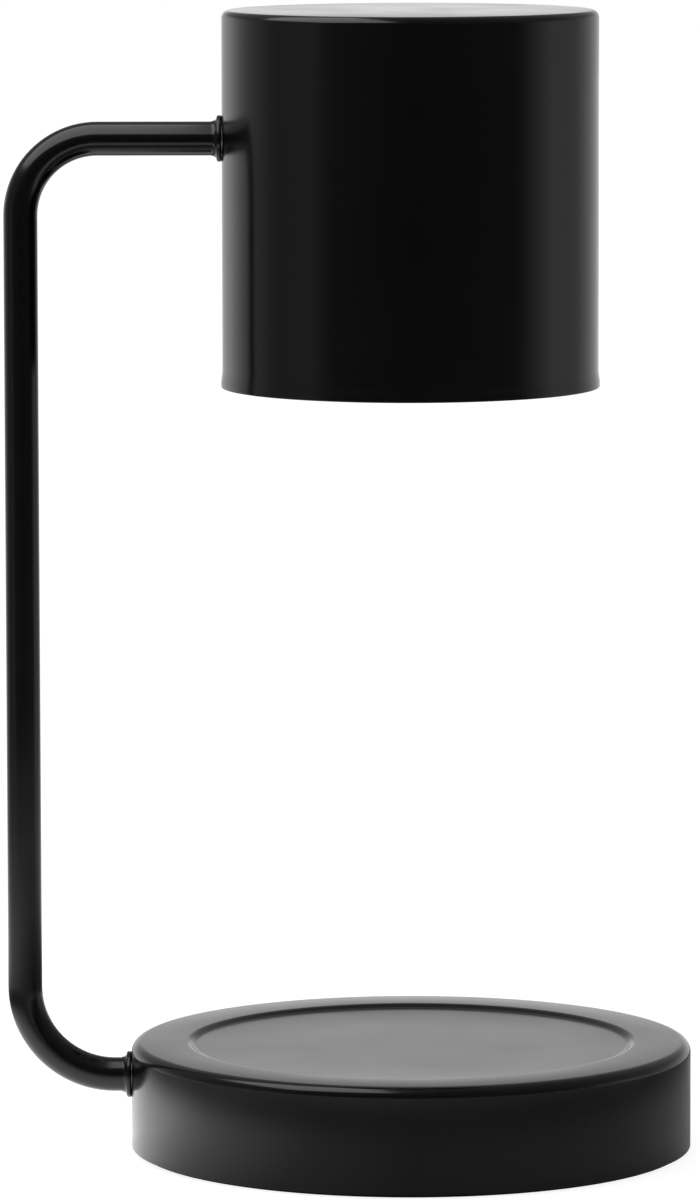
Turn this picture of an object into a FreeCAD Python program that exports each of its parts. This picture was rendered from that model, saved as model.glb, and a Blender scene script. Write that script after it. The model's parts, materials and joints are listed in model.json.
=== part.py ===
import FreeCAD, Part
import math
import os

# Candle warmer lamp: a weighted round base, a C-shaped arm tube and a round shade with a reflector bulb.
# Millimetres, +Z up. The origin is on the table under the middle of the base. The arm stands at -X.

# Base cover
base_radius = 75.0
base_height = 29.0
base_wall = 1.2
base_edge_radius = 2.8
rim_width = 16.9
recess_depth = 1.0
recess_slope = 1.6
recess_blend = 2.5

# Base inside
pad_thickness = 2.0
pad_proud = 0.8
pad_hole_gap = 0.6
plate_thickness = 1.2
rim_gap = 0.2
dimple_radius = 8.5
dimple_depth = 2.0
ballast_edge_gap = 4.5
bolt_radius = 3.0
bolt_head_radius = 6.0
bolt_head_height = 1.5
bolt_recess = 1.05
ballast_foot_edge = 0.6
ballast_top_edge = 1.0
dimple_relief = 1.5
post_side_gap = 0.43
post_count = 3
base_screw_radius = 2.0
base_screw_length = 8.0
base_screw_head_radius = 4.2
base_screw_head_height = 1.2
base_screw_recess = 0.95
screw_end_gap = 0.5
seat_gap = 0.05
least_bend = 0.2

# Cord gland at the back of the base
cord_bore_radius = 3.2
grommet_neck_radius = 5.0
grommet_flange_radius = 6.5
grommet_flange = 1.6
grommet_height = 13.0
grommet_gap = 0.02
grommet_edge = 0.5
grommet_outer_edge = 0.9

# Arm
tube_radius = 4.55
tube_wall = 1.05
candle_gap = 176.0
lower_bend = 24.0
upper_bend = 20.5
collar_radius = 6.2
collar_taper = 0.3
collar_disc = 1.2
collar_cove = 1.3
collar_lip = 0.2
collar_to_bend = 1.9
wall_touch_gap = 0.1
tube_fit = 0.03
nipple_step = 0.55
nipple_wall = 0.9
spigot_end_gap = 0.3
nut_wall = 2.2
nut_height = 4.0
nut_headroom = 0.9
nipple_end = 2.0
saddle_step = 0.6
saddle_thickness = 1.8
thread_gap = 0.03
lead_gap = 0.4
lead_parting = 0.2
lead_strip_share = 0.25
core_bite = 4.0
core_bend = 6.0
core_bend_share = 0.8
flat_share = 0.12

# Shade
shade_radius = 50.0
shade_height = 100.0
shade_wall = 0.8
shade_edge_radius = 2.0
hem_height = 1.5
hem_proud = 0.35
hem_edge_share = 0.6
arm_below_top = 34.0

# Tilting joint
tilt_limit = 30.0
tilt_gap = 0.15
running_gap = 0.05
bush_wall = 1.25
bush_flange_width = 2.4
bush_flange = 1.0
stop_thickness = 1.2
stop_radius = 7.2
tab_width = 3.0
tab_reach = 11.0
tab_gap = 0.4
tab_slack = 0.8
bow_thickness = 0.4
bow_height = 0.6
bow_gap = 0.1

# Lamp bracket and holder
bracket_width = 24.0
bracket_thickness = 1.5
bracket_bend = 4.0
bracket_margin = 3.5
bracket_wall_gap = 0.12
top_clearance = 1.2
holder_radius = 14.5
holder_body_height = 12.0
holder_cap_height = 8.0
holder_floor = 3.0
holder_screw_offset = 10.5
holder_screw_radius = 1.5
holder_screw_head_radius = 2.8
holder_screw_head_height = 2.0
holder_nut_flats = 5.5
holder_nut_height = 2.4
holder_screw_recess = 1.2
holder_screw_end_gap = 0.2
nut_pocket_gap = 0.15
ceramic_edge = 1.0
ceramic_gap = 0.1
screw_fit = 0.1
core_radius = 0.85
core_spread = 0.95
core_entry = 3.5
cavity_wall = 1.0
cavity_width = 13.0
core_into_cavity = 1.0
core_above_body = 2.0
cavity_headroom = 1.0
cavity_rib = 1.0
contact_thickness = 0.6
tongue_half = 1.6
tongue_inside = 1.8
tongue_outside = 2.2
riser_half = 1.2

# Bulb
bulb_twist = 40.0
pin_spacing = 10.0
pin_neck_radius = 1.5
pin_head_radius = 2.5
pin_neck_length = 3.4
pin_head_length = 2.8
pin_root = 5.0
pin_gap = 0.3
bulb_length = 47.0
bulb_radius = 25.0
bulb_neck_radius = 8.5
bulb_neck_length = 6.0
bulb_base_radius = 10.3
bulb_base_height = 18.0
bulb_rim_height = 4.5
bulb_base_edge = 0.6
neck_step = 1.0
flare_bulge = 0.07
flare_drop = 0.42
flare_shift = 0.4
glass_wall = 1.5
lens_thickness = 2.2
lens_recess = 0.4
lens_edge = 0.3
capsule_radius = 4.5
capsule_wall = 0.8
capsule_length = 20.0
capsule_tip_share = 0.95
capsule_hollow_share = 0.9
capsule_shoulder = 1.0
capsule_roof = 1.5
pinch_width = 8.0
pinch_thickness = 3.0
pinch_length = 10.0
pinch_overlap = 0.5
filament_radius = 0.6
filament_leg_radius = 0.3
filament_drop_share = 0.62
filament_reach_share = 0.5

# Terminal block
block_length = 20.0
block_width = 20.0
block_hole_height = 8.3
block_top_wall = 3.6
block_from_centre = 22.0
pole_spacing = 9.0
sleeve_radius = 2.5
sleeve_bore = 1.3
sleeve_length = 16.0
terminal_screw_radius = 1.4
terminal_screw_offset = 4.5
terminal_screw_drop = 0.6
block_screw_radius = 1.5
block_screw_head_radius = 1.62
block_screw_head_height = 1.6
well_gap = 0.3
slot_width = 0.6
slot_depth = 0.7
block_screw_bite = 5.0
block_edge = 0.8
terminal_well_gap = 0.4

# Drive recesses and nuts
recess_arm_share = 1.6
recess_half_share = 0.35
chamfer_share = 0.6

# Heights
cover_foot = pad_proud
plate_bottom = pad_thickness
plate_top = plate_bottom + plate_thickness
cover_ceiling = base_height - base_wall
seat_height = base_height - recess_depth
recess_ceiling = seat_height - base_wall
shade_bottom = base_height + candle_gap
shade_top = shade_bottom + shade_height
shade_ceiling = shade_top - shade_wall
arm_high = shade_top - arm_below_top

# Rim of the base: the land between the recess and the rounded edge, with the posts under its middle
recess_radius = base_radius - rim_width
ballast_radius = recess_radius - ballast_edge_gap
recess_lean = math.atan2(recess_depth, recess_slope)
under_shift = base_wall * math.tan(recess_lean / 2)
land_inner = recess_radius + recess_slope + under_shift
land_outer = base_radius - base_edge_radius
post_circle = (land_inner + land_outer) / 2
post_radius = (land_outer - land_inner) / 2 - post_side_gap

# Radii and places across the joints
cover_inside = base_radius - base_wall
shade_inside = shade_radius - shade_wall
tube_bore = tube_radius - tube_wall
spigot_radius = tube_bore - tube_fit
nipple_radius = tube_radius - nipple_step
nipple_bore = spigot_radius - nipple_wall
lead_radius = nipple_bore - lead_gap
nut_flats = 2 * (nipple_radius + nut_wall)
nut_corner = nut_flats / math.sqrt(3)
arm_low = base_height - base_wall - nut_headroom - nut_corner
collar_length = collar_disc + collar_cove
foot_straight = collar_length + collar_to_bend
base_end = -(base_radius + wall_touch_gap)
shade_end = -(shade_radius + tilt_gap)
leg_x = base_end - foot_straight - lower_bend
spigot_length = foot_straight - spigot_end_gap
bush_radius = nipple_radius + running_gap + bush_wall
bush_flange_radius = bush_radius + bush_flange_width
leg_face = math.sqrt(shade_inside ** 2 - (bracket_width / 2) ** 2)
bracket_outer = -(leg_face - bracket_wall_gap)
bracket_inner = bracket_outer + bracket_thickness
flange_inner = bracket_inner + bush_flange
stop_outer = flange_inner + bow_gap
stop_inner = stop_outer + stop_thickness
bow_inner = stop_inner + bow_gap + bow_height
shade_nut_outer = bow_inner + bow_gap
shade_nut_inner = shade_nut_outer + nut_height
shade_nipple_end = shade_nut_inner + nipple_end
lead_end = shade_nipple_end + nipple_end
saddle_radius = nut_corner - saddle_step
saddle_face = -math.sqrt(cover_inside ** 2 - saddle_radius ** 2)
saddle_inner = saddle_face + saddle_thickness
base_nut_outer = saddle_inner + bow_gap
base_nut_inner = base_nut_outer + nut_height
base_nipple_end = base_nut_inner + nipple_end
block_hole = arm_low
ballast_top = arm_low - block_hole_height
block_top = arm_low + block_top_wall
well_floor = ballast_top + block_hole_height / 2
block_x = -block_from_centre
tab_inner = tab_reach - stop_thickness

# Places of the holder and the bulb, from the shade's ceiling down
bracket_top = shade_ceiling - top_clearance - holder_screw_head_height
bracket_under = bracket_top - bracket_thickness
cap_bottom = bracket_under - holder_cap_height
holder_bottom = cap_bottom - holder_body_height
bulb_top = holder_bottom - pin_gap
pin_circle = pin_spacing / 2
pin_bearings = (90.0, 270.0)
head_bottom = bulb_top + pin_neck_length
head_top = head_bottom + pin_head_length
bulb_face = bulb_top - bulb_length
reflector_rim = bulb_face + bulb_rim_height
base_underside = bulb_top - bulb_base_height
neck_foot = base_underside - neck_step
core_height = cap_bottom + core_radius + core_above_body
cavity_half = holder_screw_offset - holder_screw_radius - cavity_wall
core_tip = core_into_cavity - cavity_half

X = FreeCAD.Vector(1, 0, 0)
Y = FreeCAD.Vector(0, 1, 0)
Z = FreeCAD.Vector(0, 0, 1)


def point(x, y, z):
    return FreeCAD.Vector(x, y, z)


def rod_x(radius, x0, x1, y=0.0, z=0.0):
    """Round rod along X."""
    return Part.makeCylinder(radius, x1 - x0, point(x0, y, z), X)


def rod_y(radius, y0, y1, x=0.0, z=0.0):
    """Round rod along Y."""
    return Part.makeCylinder(radius, y1 - y0, point(x, y0, z), Y)


def rod_z(radius, z0, z1, x=0.0, y=0.0):
    """Round rod along Z."""
    return Part.makeCylinder(radius, z1 - z0, point(x, y, z0), Z)


def block(x0, x1, y0, y1, z0, z1):
    """Box between two corners."""
    return Part.makeBox(x1 - x0, y1 - y0, z1 - z0, point(x0, y0, z0))


def straight(x0, z0, x1, z1):
    """Straight edge in the XZ plane."""
    return Part.LineSegment(point(x0, 0, z0), point(x1, 0, z1)).toShape()


def curved(x0, z0, x1, z1, x2, z2):
    """Arc in the XZ plane through three points."""
    return Part.Arc(point(x0, 0, z0), point(x1, 0, z1), point(x2, 0, z2)).toShape()


def rounded_wire(corners, closed=False):
    """Wire through corners, each a point and the radius of the arc that rounds it."""
    count = len(corners)
    stretches = []
    for index, (place, radius) in enumerate(corners):
        if radius == 0 or (not closed and index in (0, count - 1)):
            stretches.append((place, None, place))
            continue
        back = (corners[index - 1][0] - place).normalize()
        ahead = (corners[(index + 1) % count][0] - place).normalize()
        half = back.getAngle(ahead) / 2
        run = radius / math.tan(half)
        middle = place + (back + ahead).normalize() * (radius / math.sin(half) - radius)
        stretches.append((place + back * run, middle, place + ahead * run))
    edges = []
    for index, (start, middle, end) in enumerate(stretches):
        if middle is not None:
            edges.append(Part.Arc(start, middle, end).toShape())
        if index == count - 1 and not closed:
            break
        following = stretches[(index + 1) % count][0]
        if (following - end).Length > 1e-6:
            edges.append(Part.LineSegment(end, following).toShape())
    return Part.Wire(edges)


def spun(corners, axis_x=0.0, axis_y=0.0):
    """Body of revolution about Z from corners given as radius, height and rounding."""
    wire = rounded_wire([(point(r, 0, z), rounding) for r, z, rounding in corners], closed=True)
    solid = Part.Face(wire).revolve(point(0, 0, 0), Z, 360)
    solid.translate(point(axis_x, axis_y, 0))
    return solid


def spun_x(corners, height):
    """Body of revolution about the X axis at a height, from corners given as radius, place and rounding."""
    wire = rounded_wire([(point(x, 0, height + r), rounding) for r, x, rounding in corners], closed=True)
    return Part.Face(wire).revolve(point(0, 0, height), X, 360)


def swept(corners, radius):
    """Round rod of one radius along a rounded path."""
    path = rounded_wire(corners)
    first = path.Edges[0]
    heading = first.tangentAt(first.FirstParameter)
    start = first.valueAt(first.FirstParameter)
    circle = Part.Wire(Part.Circle(start, heading, radius).toShape())
    return path.makePipeShell([circle], True, False)


def hexagon_x(across_flats, x0, x1, z):
    """Hexagon nut body along X with chamfered corners."""
    corner = across_flats / math.sqrt(3)
    turns = [math.radians(60 * k) for k in range(7)]
    rim = [point(x0, corner * math.cos(turn), z + corner * math.sin(turn)) for turn in turns]
    prism = Part.Face(Part.makePolygon(rim)).extrude(point(x1 - x0, 0, 0))
    chamfer = (corner - across_flats / 2) * chamfer_share
    envelope = spun_x([(0, x0, 0), (corner - chamfer, x0, 0), (corner, x0 + chamfer, 0),
                       (corner, x1 - chamfer, 0), (corner - chamfer, x1, 0), (0, x1, 0)], z)
    return prism.common(envelope)


def hexagon_z(across_flats, z0, z1, x, y):
    """Hexagon nut body along Z."""
    corner = across_flats / math.sqrt(3)
    turns = [math.radians(60 * k) for k in range(7)]
    rim = [point(x + corner * math.cos(turn), y + corner * math.sin(turn), z0) for turn in turns]
    return Part.Face(Part.makePolygon(rim)).extrude(point(0, 0, z1 - z0))


def sector_z(inner, outer, start_deg, end_deg, z0, z1):
    """Part of a ring about Z between two angles."""
    ring = rod_z(outer, z0, z1).cut(rod_z(inner, z0, z1))
    wedge = Part.makeCylinder(outer * 2, z1 - z0, point(0, 0, z0), Z, end_deg - start_deg)
    wedge.rotate(point(0, 0, 0), Z, start_deg)
    return ring.common(wedge)


def post_places():
    """Places of the posts around the base, one of them at +X, clear of the arm."""
    turn = 2 * math.pi / post_count
    return [(post_circle * math.cos(k * turn), post_circle * math.sin(k * turn)) for k in range(post_count)]


def cross_recess(x, y, z, depth, down=True):
    """Cross-shaped driver recess in a screw head."""
    arm = depth * recess_arm_share
    half = depth * recess_half_share
    z0, z1 = (z, z + depth) if down else (z - depth, z)
    return block(x - arm, x + arm, y - half, y + half, z0, z1).fuse(
        block(x - half, x + half, y - arm, y + arm, z0, z1))


def driver_slot(radius, x, y, top):
    """Straight slot across a screw head."""
    half = slot_width / 2
    return block(x - radius, x + radius, y - half, y + half, top - slot_depth, top)


def base_cover():
    """Pressed steel cover with a shallow recess for the candle in its top."""
    edge_inside = max(base_edge_radius - base_wall, least_bend)
    shell = spun([
        (0, seat_height, 0),
        (recess_radius, seat_height, recess_blend),
        (recess_radius + recess_slope, base_height, recess_blend),
        (base_radius, base_height, base_edge_radius),
        (base_radius, cover_foot, 0),
        (cover_inside, cover_foot, 0),
        (cover_inside, cover_ceiling, edge_inside),
        (recess_radius + recess_slope + under_shift, cover_ceiling, recess_blend - base_wall),
        (recess_radius + under_shift, recess_ceiling, recess_blend + base_wall),
        (0, recess_ceiling, 0),
    ])
    arm_hole = rod_x(nipple_radius + tube_fit, -base_radius - base_wall, saddle_face, 0, arm_low)
    cord_hole = rod_y(grommet_neck_radius + seat_gap, cover_inside - base_wall * 2, base_radius + base_wall,
                      0, grommet_height)
    return shell.cut(arm_hole).cut(cord_hole)


def cover_posts():
    """Threaded posts brazed under the cover's rim, which take the bottom screws."""
    posts = []
    for x, y in post_places():
        post = rod_z(post_radius, plate_top, cover_ceiling, x, y)
        bore = rod_z(base_screw_radius + thread_gap, plate_top, plate_top + base_screw_length, x, y)
        posts.append(post.cut(bore))
    return Part.makeCompound(posts)


def ballast_disc():
    """Cast iron disc that keeps the lamp upright, tapped for its bolt and the terminal block's screw."""
    disc = spun([(0, plate_top, 0), (ballast_radius, plate_top, ballast_foot_edge),
                 (ballast_radius, ballast_top, ballast_top_edge), (0, ballast_top, 0)])
    relief = rod_z(dimple_radius + dimple_relief, plate_top, plate_top + dimple_depth + seat_gap)
    bolt_hole = rod_z(bolt_radius + thread_gap, plate_top, ballast_top)
    screw_floor = ballast_top - block_screw_bite - screw_end_gap
    screw_hole = rod_z(block_screw_radius + thread_gap, screw_floor, ballast_top, block_x)
    return disc.cut(relief).cut(bolt_hole).cut(screw_hole)


def bottom_plate():
    """Steel plate that closes the base, with a pressed dimple for the ballast bolt's head."""
    radius = cover_inside - rim_gap
    slope_shift = plate_thickness * math.tan(math.pi / 8)
    plate = spun([
        (0, plate_bottom + dimple_depth, 0),
        (dimple_radius - dimple_depth, plate_bottom + dimple_depth, 0),
        (dimple_radius, plate_bottom, 0),
        (radius, plate_bottom, 0),
        (radius, plate_top, 0),
        (dimple_radius + slope_shift, plate_top, 0),
        (dimple_radius - dimple_depth + slope_shift, plate_top + dimple_depth, 0),
        (0, plate_top + dimple_depth, 0),
    ])
    plate = plate.cut(rod_z(bolt_radius + screw_fit, plate_bottom, plate_top + dimple_depth))
    for x, y in post_places():
        plate = plate.cut(rod_z(base_screw_radius + screw_fit, plate_bottom, plate_top, x, y))
    return plate


def foam_pad():
    """Soft foam disc that the lamp stands on, with holes over the bottom screws."""
    pad = spun([(0, 0, 0), (cover_inside - rim_gap, 0, 0), (cover_inside - rim_gap, pad_thickness, 0),
                (0, pad_thickness, 0)])
    for x, y in post_places():
        pad = pad.cut(rod_z(base_screw_head_radius + pad_hole_gap, 0, pad_thickness, x, y))
    return pad


def base_screws():
    """Low-headed screws that hold the bottom plate to the posts."""
    screws = []
    for x, y in post_places():
        head = rod_z(base_screw_head_radius, plate_bottom - base_screw_head_height, plate_bottom, x, y)
        shank = rod_z(base_screw_radius, plate_bottom, plate_top + base_screw_length - screw_end_gap, x, y)
        recess = cross_recess(x, y, plate_bottom - base_screw_head_height, base_screw_recess)
        screws.append(head.fuse(shank).cut(recess))
    return Part.makeCompound(screws)


def ballast_bolt():
    """Bolt whose head lies in the plate's dimple and whose thread holds the ballast down."""
    head_top_z = plate_bottom + dimple_depth
    head = rod_z(bolt_head_radius, head_top_z - bolt_head_height, head_top_z)
    shank = rod_z(bolt_radius, head_top_z, ballast_top - screw_end_gap)
    return head.fuse(shank).cut(cross_recess(0, 0, head_top_z - bolt_head_height, bolt_recess))


def cord_grommet():
    """Rubber bush that lines the cord's hole in the back of the cover."""
    outer_face = base_radius + grommet_gap
    inner_face = math.sqrt(cover_inside ** 2 - grommet_flange_radius ** 2) - grommet_gap
    profile = [
        (cord_bore_radius, inner_face - grommet_flange, 0),
        (grommet_flange_radius, inner_face - grommet_flange, grommet_edge),
        (grommet_flange_radius, inner_face, 0),
        (grommet_neck_radius, inner_face, 0),
        (grommet_neck_radius, outer_face, 0),
        (grommet_flange_radius, outer_face, 0),
        (grommet_flange_radius, outer_face + grommet_flange, grommet_outer_edge),
        (cord_bore_radius, outer_face + grommet_flange, grommet_edge),
    ]
    corners = [(point(0, y, grommet_height + r), rounding) for r, y, rounding in profile]
    wire = rounded_wire(corners, closed=True)
    return Part.Face(wire).revolve(point(0, 0, grommet_height), Y, 360)


def arm_tube():
    """C-shaped steel tube from the base's side up and over to the shade's side."""
    path = [(point(base_end, 0, arm_low), 0), (point(leg_x, 0, arm_low), lower_bend),
            (point(leg_x, 0, arm_high), upper_bend), (point(shade_end, 0, arm_high), 0)]
    tube = swept(path, tube_radius).cut(swept(path, tube_bore))
    bends = math.pi / 2 * (lower_bend + upper_bend)
    straights = (abs(leg_x - base_end) - lower_bend) + (arm_high - arm_low - lower_bend - upper_bend)
    straights += abs(shade_end - leg_x) - upper_bend
    expected = math.pi * (tube_radius ** 2 - tube_bore ** 2) * (bends + straights)
    print("arm tube volume", round(tube.Volume, 1), "section times length", round(expected, 1))
    return tube


def collar(wall_face, height):
    """Flared collar on the arm, its disc against a wall that lies at +X of it."""
    bore = tube_radius + tube_fit
    disc_back = wall_face - collar_disc
    cove_end = disc_back - collar_cove
    lip = tube_radius + collar_lip
    edge = collar_radius - collar_taper
    half_way = math.radians(45)
    cove_middle_x = cove_end + collar_cove * math.sin(half_way)
    cove_middle_r = lip + (edge - lip) * (1 - math.cos(half_way))
    outline = [
        straight(cove_end, height + bore, cove_end, height + lip),
        curved(cove_end, height + lip, cove_middle_x, height + cove_middle_r, disc_back, height + edge),
        straight(disc_back, height + edge, wall_face, height + collar_radius),
        straight(wall_face, height + collar_radius, wall_face, height + bore),
        straight(wall_face, height + bore, cove_end, height + bore),
    ]
    return Part.Face(Part.Wire(outline)).revolve(point(0, 0, height), X, 360)


def base_nipple():
    """Hollow threaded end brazed into the tube, which passes through the cover."""
    spigot = rod_x(spigot_radius, base_end - spigot_length, base_end, 0, arm_low)
    threaded = rod_x(nipple_radius, base_end, base_nipple_end, 0, arm_low)
    bore = rod_x(nipple_bore, base_end - spigot_length, base_nipple_end, 0, arm_low)
    return spigot.fuse(threaded).cut(bore)


def flatted(radius, x0, x1):
    """Round bar at the arm's upper end with two flats, one each side."""
    half = radius - nipple_radius * flat_share
    bar = rod_x(radius, x0, x1, 0, arm_high)
    return bar.common(block(x0, x1, -half, half, arm_high - radius, arm_high + radius))


def shade_nipple():
    """Hollow threaded end at the shade, with flats that key the stop washer."""
    spigot = rod_x(spigot_radius, shade_end - spigot_length, shade_end, 0, arm_high)
    round_part = rod_x(nipple_radius, shade_end, flange_inner, 0, arm_high)
    keyed = flatted(nipple_radius, flange_inner, shade_nipple_end)
    bore = rod_x(nipple_bore, shade_end - spigot_length, shade_nipple_end, 0, arm_high)
    return spigot.fuse(round_part).fuse(keyed).cut(bore)


def base_saddle_washer():
    """Washer shaped to the inside of the cover's curved wall."""
    washer = rod_x(saddle_radius, -base_radius, saddle_inner, 0, arm_low)
    washer = washer.common(rod_z(cover_inside - seat_gap, 0, base_height))
    return washer.cut(rod_x(nipple_radius + screw_fit, -base_radius, saddle_inner, 0, arm_low))


def thread_nut(x0, height):
    """Thin hexagon nut on a nipple."""
    nut = hexagon_x(nut_flats, x0, x0 + nut_height, height)
    return nut.cut(rod_x(nipple_radius + thread_gap, x0, x0 + nut_height, 0, height))


def core_pair(start_x, start_z, end_x, end_z, end_y, bend, middle_x=None):
    """Two insulated cores that spread from beside each other to two holes."""
    cores = []
    for side in (-1, 1):
        if middle_x is None:
            third = (end_x - start_x) / 3
            corners = [
                (point(start_x, side * core_spread, start_z), 0),
                (point(start_x + third, side * core_spread, start_z), bend),
                (point(end_x - third, side * end_y, end_z), bend),
                (point(end_x, side * end_y, end_z), 0),
            ]
        else:
            corners = [
                (point(start_x, side * core_spread, start_z), 0),
                (point(middle_x, side * core_spread, start_z), bend),
                (point(middle_x, side * end_y, end_z), bend),
                (point(end_x, side * end_y, end_z), 0),
            ]
        cores.append(swept(corners, core_radius))
    return cores


def arm_lead():
    """Two-core lead from the terminal block through the arm to the tilting axis."""
    block_face = block_x - block_length / 2
    strip_x = base_nipple_end + lead_strip_share * (block_face - base_nipple_end)
    path = [(point(strip_x, 0, arm_low), 0), (point(leg_x, 0, arm_low), lower_bend),
            (point(leg_x, 0, arm_high), upper_bend), (point(lead_end, 0, arm_high), 0)]
    lead = swept(path, lead_radius)
    into_block = block_face + (block_length - sleeve_length) / 2 + core_bite
    for core in core_pair(strip_x, arm_low, into_block, block_hole, pole_spacing / 2, core_bend):
        lead = lead.fuse(core)
    return lead


def holder_lead():
    """Two cores from the tilting axis up to the holder's wire entries."""
    start = lead_end + lead_parting
    side = -holder_radius
    middle = (start + side) / 2
    bend = core_bend_share * (side - start) / 2
    return Part.makeCompound(core_pair(start, arm_high, core_tip, core_height, core_entry, bend, middle))


def terminal_block():
    """Insulating block with two through holes, four screw wells and a fixing hole."""
    x0 = block_x - block_length / 2
    x1 = block_x + block_length / 2
    body = block(x0, x1, -block_width / 2, block_width / 2, ballast_top, block_top)
    body = body.makeFillet(block_edge, [edge for edge in body.Edges if abs(edge.tangentAt(0).z) > 0.9])
    for side in (-1, 1):
        y = side * pole_spacing / 2
        body = body.cut(rod_x(sleeve_radius + seat_gap, x0, x1, y, block_hole))
        for end in (-1, 1):
            x = block_x + end * terminal_screw_offset
            body = body.cut(rod_z(terminal_screw_radius + terminal_well_gap, block_hole, block_top, x, y))
    body = body.cut(rod_z(block_screw_radius + screw_fit, ballast_top, block_top, block_x))
    return body.cut(rod_z(block_screw_head_radius + well_gap, well_floor, block_top, block_x))


def terminal_sleeves():
    """Brass sleeves in the block, each tapped for two clamping screws."""
    sleeves = []
    x0 = block_x - sleeve_length / 2
    x1 = block_x + sleeve_length / 2
    for side in (-1, 1):
        y = side * pole_spacing / 2
        sleeve = rod_x(sleeve_radius, x0, x1, y, block_hole).cut(rod_x(sleeve_bore, x0, x1, y, block_hole))
        for end in (-1, 1):
            x = block_x + end * terminal_screw_offset
            sleeve = sleeve.cut(rod_z(terminal_screw_radius + thread_gap, block_hole, block_top, x, y))
        sleeves.append(sleeve)
    return Part.makeCompound(sleeves)


def terminal_screws():
    """Slotted screws that clamp the wires in the sleeves."""
    screws = []
    top = block_top - terminal_screw_drop
    bottom = block_hole + core_radius + seat_gap
    for side in (-1, 1):
        for end in (-1, 1):
            x = block_x + end * terminal_screw_offset
            y = side * pole_spacing / 2
            screw = rod_z(terminal_screw_radius, bottom, top, x, y)
            screws.append(screw.cut(driver_slot(terminal_screw_radius, x, y, top)))
    return Part.makeCompound(screws)


def block_screw():
    """Screw that holds the terminal block to the ballast."""
    top = well_floor + block_screw_head_height
    head = rod_z(block_screw_head_radius, well_floor, top, block_x)
    shank = rod_z(block_screw_radius, ballast_top - block_screw_bite, well_floor, block_x)
    return head.fuse(shank).cut(driver_slot(block_screw_head_radius, block_x, 0, top))


def shade_shell():
    """Drawn steel can with a rounded top edge and a fine hem around its open lower rim."""
    hem_edge = hem_proud * hem_edge_share
    shell = spun([
        (0, shade_top, 0),
        (shade_radius, shade_top, shade_edge_radius),
        (shade_radius, shade_bottom + hem_height, 0),
        (shade_radius + hem_proud, shade_bottom + hem_height - hem_proud, 0),
        (shade_radius + hem_proud, shade_bottom, hem_edge),
        (shade_inside, shade_bottom, hem_edge),
        (shade_inside, shade_ceiling, max(shade_edge_radius - shade_wall, least_bend)),
        (0, shade_ceiling, 0),
    ])
    return shell.cut(rod_x(bush_radius + seat_gap, -shade_radius - shade_wall, bracket_outer, 0, arm_high))


def shade_bush():
    """Flanged brass bush in the shade's wall, which turns on the nipple."""
    outer_end = -(math.sqrt(shade_radius ** 2 - bush_radius ** 2) - seat_gap)
    body = rod_x(bush_radius, outer_end, bracket_inner, 0, arm_high)
    flange = rod_x(bush_flange_radius, bracket_inner, flange_inner, 0, arm_high)
    return body.fuse(flange).cut(rod_x(nipple_radius + running_gap, outer_end, flange_inner, 0, arm_high))


def stop_washer():
    """Washer keyed to the nipple, with a bent tab in the bracket's curved slot."""
    washer = rod_x(stop_radius, stop_outer, stop_inner, 0, arm_high)
    ear = block(stop_outer, stop_inner, -tab_width / 2, tab_width / 2, arm_high - tab_reach, arm_high)
    tab_tip = bracket_outer + tab_gap
    tab_low = arm_high - tab_reach
    tab = block(tab_tip, stop_inner, -tab_width / 2, tab_width / 2, tab_low, arm_high - tab_inner)
    key = flatted(nipple_radius + seat_gap, stop_outer, stop_inner)
    return washer.fuse(ear).fuse(tab).cut(key)


def bow_washer():
    """Bowed spring washer that keeps the tilting joint stiff."""
    ring = rod_x(stop_radius, stop_inner + bow_gap, bow_inner, 0, arm_high)
    ring = ring.cut(rod_x(nipple_radius + screw_fit, stop_inner, bow_inner, 0, arm_high))
    rise = bow_height - bow_thickness
    bow_radius = (stop_radius ** 2 + rise ** 2) / (2 * rise)
    centre_x = bow_inner - bow_radius
    curve = rod_y(bow_radius, -stop_radius, stop_radius, centre_x, arm_high).cut(
        rod_y(bow_radius - bow_thickness, -stop_radius, stop_radius, centre_x, arm_high))
    return ring.common(curve)


def lamp_bracket():
    """Bent strip: its leg lies in the shade's wall at the bush, its top carries the holder."""
    leg_bottom = arm_high - tab_reach - tab_gap - bracket_margin
    far_end = holder_screw_offset + holder_screw_head_radius + bracket_margin
    profile = rounded_wire([
        (point(bracket_outer, 0, leg_bottom), 0),
        (point(bracket_outer, 0, bracket_top), bracket_bend),
        (point(far_end, 0, bracket_top), 0),
        (point(far_end, 0, bracket_under), 0),
        (point(bracket_inner, 0, bracket_under), bracket_bend - bracket_thickness),
        (point(bracket_inner, 0, leg_bottom), 0),
    ], closed=True)
    strip = Part.Face(profile).extrude(point(0, bracket_width, 0))
    strip.translate(point(0, -bracket_width / 2, 0))
    strip = strip.cut(rod_x(bush_radius + seat_gap, bracket_outer, bracket_inner, 0, arm_high))
    for side in (-1, 1):
        strip = strip.cut(rod_z(holder_screw_radius + screw_fit, bracket_under, bracket_top,
                                side * holder_screw_offset))
    reach = tilt_limit + math.degrees(math.atan2(tab_width / 2, tab_inner)) + tab_slack
    slot = sector_z(tab_inner - tab_gap, tab_reach + tab_gap, -reach, reach, bracket_outer, bracket_inner)
    slot.rotate(point(0, 0, 0), Y, 90)
    slot.translate(point(0, 0, arm_high))
    return strip.cut(slot)


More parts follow.
